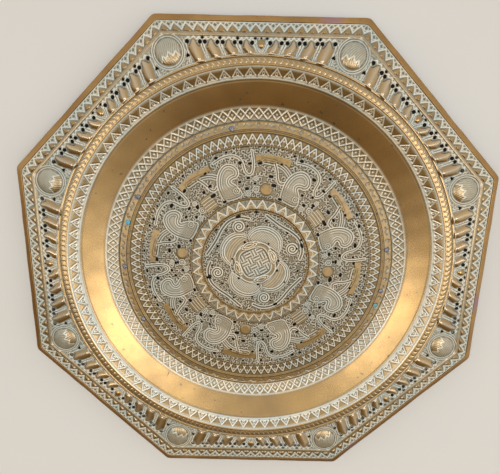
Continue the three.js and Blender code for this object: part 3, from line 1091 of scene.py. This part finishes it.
def build_rivet(number, material):
    """A hand-set rivet: a domed, slightly dented head, its shank, and the spread tail below."""
    node = f"rivet_{number}"
    low, high = (np.array(corner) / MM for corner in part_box(node))
    middle = (low + high) / 2
    head_r = (high[0] - low[0]) / 2
    seat = high[2] - RIVET_HEAD_HEIGHT
    section = [(0.0, low[2]), (RIVET_TAIL_R - 0.15, low[2] + 0.02), (RIVET_TAIL_R, low[2] + 0.12)]
    section += [(RIVET_SHANK_R + 0.05, low[2] + 0.6), (RIVET_SHANK_R, seat - 0.02)]
    section += [(head_r - 0.12, seat), (head_r, seat + 0.12)]
    for turn in np.linspace(0.16, 0.96, 9) * math.pi / 2:
        section.append((head_r * math.cos(turn), seat + RIVET_HEAD_RISE * math.sin(turn)))
    angle = np.arange(RIVET_COLUMNS) / RIVET_COLUMNS * 2 * math.pi
    points = [np.array([middle[0], middle[1], section[0][1]])]
    for radius, z in section[1:]:
        uneven = 1 - 0.04 * (1 + np.sin(3 * angle + number)) * (z > seat)
        dent = 0.08 * (1 + np.sin(2 * angle + 2 * number)) * (z > seat + 0.5)
        x = middle[0] + radius * uneven * np.cos(angle)
        y = middle[1] + radius * uneven * np.sin(angle)
        points.extend(np.stack([x, y, z - dent], -1))
    points.append(np.array([middle[0], middle[1], seat + 0.84]))
    last = len(points) - 1
    j = np.arange(RIVET_COLUMNS)
    k = np.roll(j, -1)
    below = np.stack([0 * j, 1 + k, 1 + j], 1)
    sides = grid_faces(np.ones((len(section) - 2, RIVET_COLUMNS), bool), RIVET_COLUMNS, 1, flip=True)
    above = last + np.stack([j - RIVET_COLUMNS, k - RIVET_COLUMNS, 0 * j], 1)
    groups = [below, sides, above]
    return make_piece(f"domed_rivet_{number}", np.array(points), groups, {}, material, node)


# ---- materials ----


class Nodes:
    """Short calls for building a node tree."""

    def __init__(self, tree):
        self.tree = tree

    def set(self, socket, value):
        if hasattr(value, "is_output"):
            self.tree.links.new(value, socket)
        else:
            socket.default_value = value

    def wire(self, kind, output, inputs, **settings):
        """Adds a node with its settings and inputs, and returns one of its outputs."""
        node = self.tree.nodes.new("ShaderNode" + kind)
        for key, value in settings.items():
            setattr(node, key, value)
        for key, value in inputs.items():
            self.set(node.inputs[key], value)
        return node.outputs[output]

    def math(self, operation, a, b=0.0, clamp=False):
        return self.wire("Math", 0, {0: a, 1: b}, operation=operation, use_clamp=clamp)

    def vector(self, operation, output, a, b):
        return self.wire("VectorMath", output, {0: a, 1: b}, operation=operation)

    def span(self, value, low, high, to_low=0.0, to_high=1.0):
        inputs = {"Value": value, "From Min": low, "From Max": high, "To Min": to_low, "To Max": to_high}
        return self.wire("MapRange", "Result", inputs)

    def mix(self, share, a, b):
        return self.wire("Mix", 2, {0: share, 6: a, 7: b}, data_type="RGBA")


class Shader(Nodes):
    """A material of one Principled surface."""

    def __init__(self, name):
        self.material = bpy.data.materials.new(name)
        self.material.use_nodes = True
        super().__init__(self.material.node_tree)
        self.tree.nodes.clear()
        output = self.tree.nodes.new("ShaderNodeOutputMaterial")
        self.surface = self.tree.nodes.new("ShaderNodeBsdfPrincipled")
        self.tree.links.new(self.surface.outputs[0], output.inputs["Surface"])
        self.place = self.wire("TexCoord", "Object", {})

    def feed(self, name, value):
        self.set(self.surface.inputs[name], value)

    def layer(self, name):
        return self.wire("Attribute", "Fac", {}, attribute_name=name)

    def noise(self, scale, detail=3.0, rough=0.55):
        inputs = {"Vector": self.place, "Scale": scale, "Detail": detail, "Roughness": rough}
        return self.wire("TexNoise", "Fac", inputs)

    def bump(self, height, strength):
        inputs = {"Strength": strength, "Distance": BUMP_DEPTH, "Height": height}
        self.feed("Normal", self.wire("Bump", 0, inputs))

    def spot(self, x, y, size, solid=0.3):
        """1 at a place on the tray, in metres, fading to 0 at the given distance from it."""
        flat = self.vector("MULTIPLY", "Vector", self.place, (1, 1, 0))
        away = self.vector("DISTANCE", "Value", flat, (x, y, 0))
        return self.span(away, size, size * solid)


BUMP_DEPTH = 0.0002
GOLD = (0.38, 0.218, 0.042, 1)
GOLD_DARK = (0.25, 0.138, 0.024, 1)
FLOOR_GOLD = (0.32, 0.205, 0.056, 1)
FLOOR_ROSY = (0.30, 0.18, 0.062, 1)
TARNISH = (0.12, 0.08, 0.028, 1)
GROUND_BROWN = (0.19, 0.128, 0.052, 1)
VERDIGRIS = (0.32, 0.35, 0.29, 1)
PALE = (0.88, 0.83, 0.70, 1)
PALE_BLUE = (0.70, 0.76, 0.72, 1)
# Near-black painted shade for the back of the sheets and the walls of the piercings.
UNDERSIDE_SHADE = (0.055, 0.04, 0.022, 1)
# Near-black: painted shade in recesses, and also the colour of small random dark spots on bare metal.
RECESS_SHADE_AND_SPOTS = (0.055, 0.038, 0.02, 1)
TINT = (0.34, 0.20, 0.22, 1)
STEEL = (0.26, 0.28, 0.36, 1)
TURQUOISE = (0.12, 0.52, 0.74, 1)
TEAL = (0.12, 0.42, 0.46, 1)


def chased_brass(name, ground_green, first_tone, second_tone, polish, coat, mottle, recess_shade_amount):
    """Old brass: bare gold on the swellings, pale deposit on the lines, dull green-brown between, with
    painted shade in the hollows and on the underside.
    """
    s = Shader(name)
    broad, fine, grain = s.noise(28, 3), s.noise(260, 4), s.noise(1400, 3, 0.6)
    pale, gold, under = s.layer("pale"), s.layer("gold"), s.layer("under")
    recess_shade = s.layer("recess_shade")
    bare = s.mix(s.span(broad, 0.3, 0.75), first_tone, second_tone)
    bare = s.mix(s.span(fine, 0.48, 0.66, 0, mottle), bare, TARNISH)
    bare = s.mix(s.span(s.noise(260, 0), 0.80, 0.82, 0, 0.7), bare, RECESS_SHADE_AND_SPOTS)
    green = s.span(fine, 0.36, 0.6, ground_green * 0.35, ground_green)
    ground = s.mix(green, GROUND_BROWN, VERDIGRIS)
    line_tone = s.mix(s.span(broad, 0.42, 0.6), PALE, PALE_BLUE)
    metal = s.mix(gold, ground, bare)
    colour = s.mix(s.math("MULTIPLY", pale, s.span(grain, 0.3, 0.55, 0.7, 1.0)), metal, line_tone)
    # Painted shade: recesses are darkened towards the near-black colour.
    colour = s.mix(s.math("MULTIPLY", recess_shade, recess_shade_amount), colour, RECESS_SHADE_AND_SPOTS)
    # Painted shade: the underside and the hole walls take the near-black colour.
    colour = s.mix(under, colour, UNDERSIDE_SHADE)
    s.feed("Base Color", colour)
    s.feed("Coat Weight", s.math("MULTIPLY", gold, coat))
    s.feed("Coat Roughness", 0.22)
    s.feed("Coat IOR", 1.75)
    shine = s.math("SUBTRACT", 1.0, s.math("MULTIPLY", pale, 0.55), clamp=True)
    s.feed("Metallic", s.math("MULTIPLY", shine, s.span(gold, 0, 1, 0.75, 1.0)))
    worn = s.math("MULTIPLY", s.span(fine, 0.3, 0.7, 0.0, 0.1), s.span(gold, 0, 1, 1.0, 0.25))
    s.feed("Roughness", s.math("ADD", s.span(gold, 0, 1, 0.5, polish), worn))
    s.bump(s.math("ADD", grain, s.math("MULTIPLY", fine, 2.0)), s.span(gold, 0, 1, 0.35, 0.015))
    return s.material


def binding_brass():
    """Redder rolled brass with long scratches and three heat tints."""
    s = Shader("Binding brass")
    broad, fine = s.noise(30, 3), s.noise(700, 3)
    colour = s.mix(s.span(broad, 0.35, 0.65), (0.41, 0.245, 0.095, 1), (0.31, 0.175, 0.065, 1))
    colour = s.mix(s.span(fine, 0.6, 0.75, 0, 0.5), colour, (0.20, 0.10, 0.045, 1))
    for x, y in HEAT_TINTS:
        colour = s.mix(s.math("MULTIPLY", s.spot(x, y, 0.011), 0.8), colour, TINT)
    s.feed("Base Color", colour)
    s.feed("Metallic", 1.0)
    s.feed("Roughness", s.span(fine, 0.3, 0.7, 0.3, 0.46))
    s.bump(fine, 0.25)
    return s.material


def rivet_metal(name, colour, metallic):
    s = Shader(name)
    fine = s.noise(900, 4)
    tone = s.mix(s.span(fine, 0.35, 0.65), colour, tuple(0.55 * c for c in colour[:3]) + (1,))
    tone = s.mix(s.span(fine, 0.6, 0.72), tone, PALE)
    s.feed("Base Color", tone)
    s.feed("Metallic", metallic)
    s.feed("Roughness", s.span(fine, 0.3, 0.7, 0.3, 0.55))
    s.bump(fine, 0.5)
    return s.material


# ---- stage, light and camera ----


TOWARD_LIGHT = (0.35, 1.0, 0.0)
NEAR_SIDE = (-0.52, -0.26)  # along that direction the room turns here from its dark side to its light one
ROOM_DARK = (0.30, 0.20, 0.08, 1)
ROOM_LIGHT = (0.94, 0.92, 0.88, 1)
FLOOR_HALF = 1.6
SHADE_REACH = 0.187  # the floor is dark below the tray, where no light gets in
SHADE_SOLID = 0.965
SHADE_DARK = (0.012, 0.011, 0.01, 1)
LAMP_DISTANCE = 1.1
LAMP_COLOUR = (1, 0.96, 0.9)
LENS = 26.8
SENSOR = 36
EYE = (-0.0048, 0.0899, 0.3029)
FORWARD = (-0.0002, -0.2207, -0.9753)
UPWARD = (-0.0219, 0.9751, -0.2207)


def pale_floor():
    """The plain pale surface that the tray lies on, with a painted shadow below the tray."""
    corners = [(FLOOR_HALF * i, FLOOR_HALF * j, 0) for i, j in ((-1, -1), (1, -1), (1, 1), (-1, 1))]
    mesh = bpy.data.meshes.new("pale_floor")
    mesh.from_pydata(corners, [], [(0, 1, 2, 3)])
    s = Shader("Pale floor")
    pale = s.mix(s.noise(6, 2), (0.70, 0.69, 0.67, 1), (0.74, 0.73, 0.71, 1))
    # Painted shadow: the floor is coloured almost black below the tray.
    s.feed("Base Color", s.mix(s.spot(0, 0, SHADE_REACH, SHADE_SOLID), pale, SHADE_DARK))
    s.feed("Roughness", 0.7)
    mesh.materials.append(s.material)
    floor = bpy.data.objects.new("pale_floor", mesh)
    floor.location.z = -0.0003
    bpy.context.scene.collection.objects.link(floor)


def soft_light(name, toward, size, power):
    """A rectangular soft light at a distance along a direction, facing the tray."""
    light = bpy.data.lights.new(name, "AREA")
    light.shape = "RECTANGLE"
    light.size, light.size_y = size
    light.energy = power
    light.color = LAMP_COLOUR
    lamp = bpy.data.objects.new(name, light)
    direction = np.array(toward, float) / np.linalg.norm(toward)
    lamp.location = direction * LAMP_DISTANCE
    lamp.rotation_euler = (math.acos(direction[2]), 0, math.atan2(direction[1], direction[0]) + math.pi / 2)
    bpy.context.scene.collection.objects.link(lamp)


def sky():
    """Even room light, dim and warm on the near side where someone stands; the camera sees it plain."""
    world = bpy.data.worlds.new("Room")
    bpy.context.scene.world = world
    world.use_nodes = True
    s = Nodes(world.node_tree)
    across = s.vector("DOT_PRODUCT", "Value", s.wire("TexCoord", "Generated", {}), TOWARD_LIGHT)
    room = s.mix(s.span(across, *NEAR_SIDE), ROOM_DARK, ROOM_LIGHT)
    seen = s.mix(s.wire("LightPath", "Is Camera Ray", {}), room, ROOM_LIGHT)
    s.set(s.tree.nodes["Background"].inputs["Color"], seen)


def camera():
    """Looks down on the tray from its lower side, as close as an arm's length."""
    lens = bpy.data.cameras.new("View")
    lens.lens = LENS
    lens.sensor_width = SENSOR
    eye = bpy.data.objects.new("View", lens)
    forward = np.array(FORWARD) / np.linalg.norm(FORWARD)
    right = np.cross(forward, UPWARD)
    right /= np.linalg.norm(right)
    up = np.cross(right, forward)
    matrix = np.eye(4)
    matrix[:3, 0], matrix[:3, 1], matrix[:3, 2] = right, up, -forward
    matrix[:3, 3] = EYE
    eye.matrix_world = Matrix(matrix.tolist())
    bpy.context.scene.collection.objects.link(eye)
    bpy.context.scene.camera = eye


rim_brass = chased_brass("Chased rim brass", 0.85, GOLD, GOLD_DARK, 0.2, 1.0, 0.1, 0.5)
floor_brass = chased_brass("Chased floor brass", 0.2, FLOOR_GOLD, FLOOR_ROSY, 0.42, 0.3, 0.5, 0.85)
build_rim(rim_brass)
build_plate(floor_brass)
build_binding(binding_brass())
blue_steel = rivet_metal("Rivet metal", STEEL, 0.8)
turquoise = rivet_metal("Rivet, turquoise", TURQUOISE, 0.15)
teal = rivet_metal("Rivet, teal", TEAL, 0.3)
for rivet_number in range(1, 9):
    finish = {TURQUOISE_RIVET: turquoise, TEAL_RIVET: teal}.get(rivet_number, blue_steel)
    build_rivet(rivet_number, finish)

pale_floor()
sky()
soft_light("left_ceiling_light", (-0.297, -0.14, 0.94), (0.3, 0.34), 1.3)
soft_light("right_ceiling_light", (0.292, -0.13, 0.95), (0.3, 0.36), 1.6)
camera()
bpy.context.scene.view_settings.view_transform = "Standard"
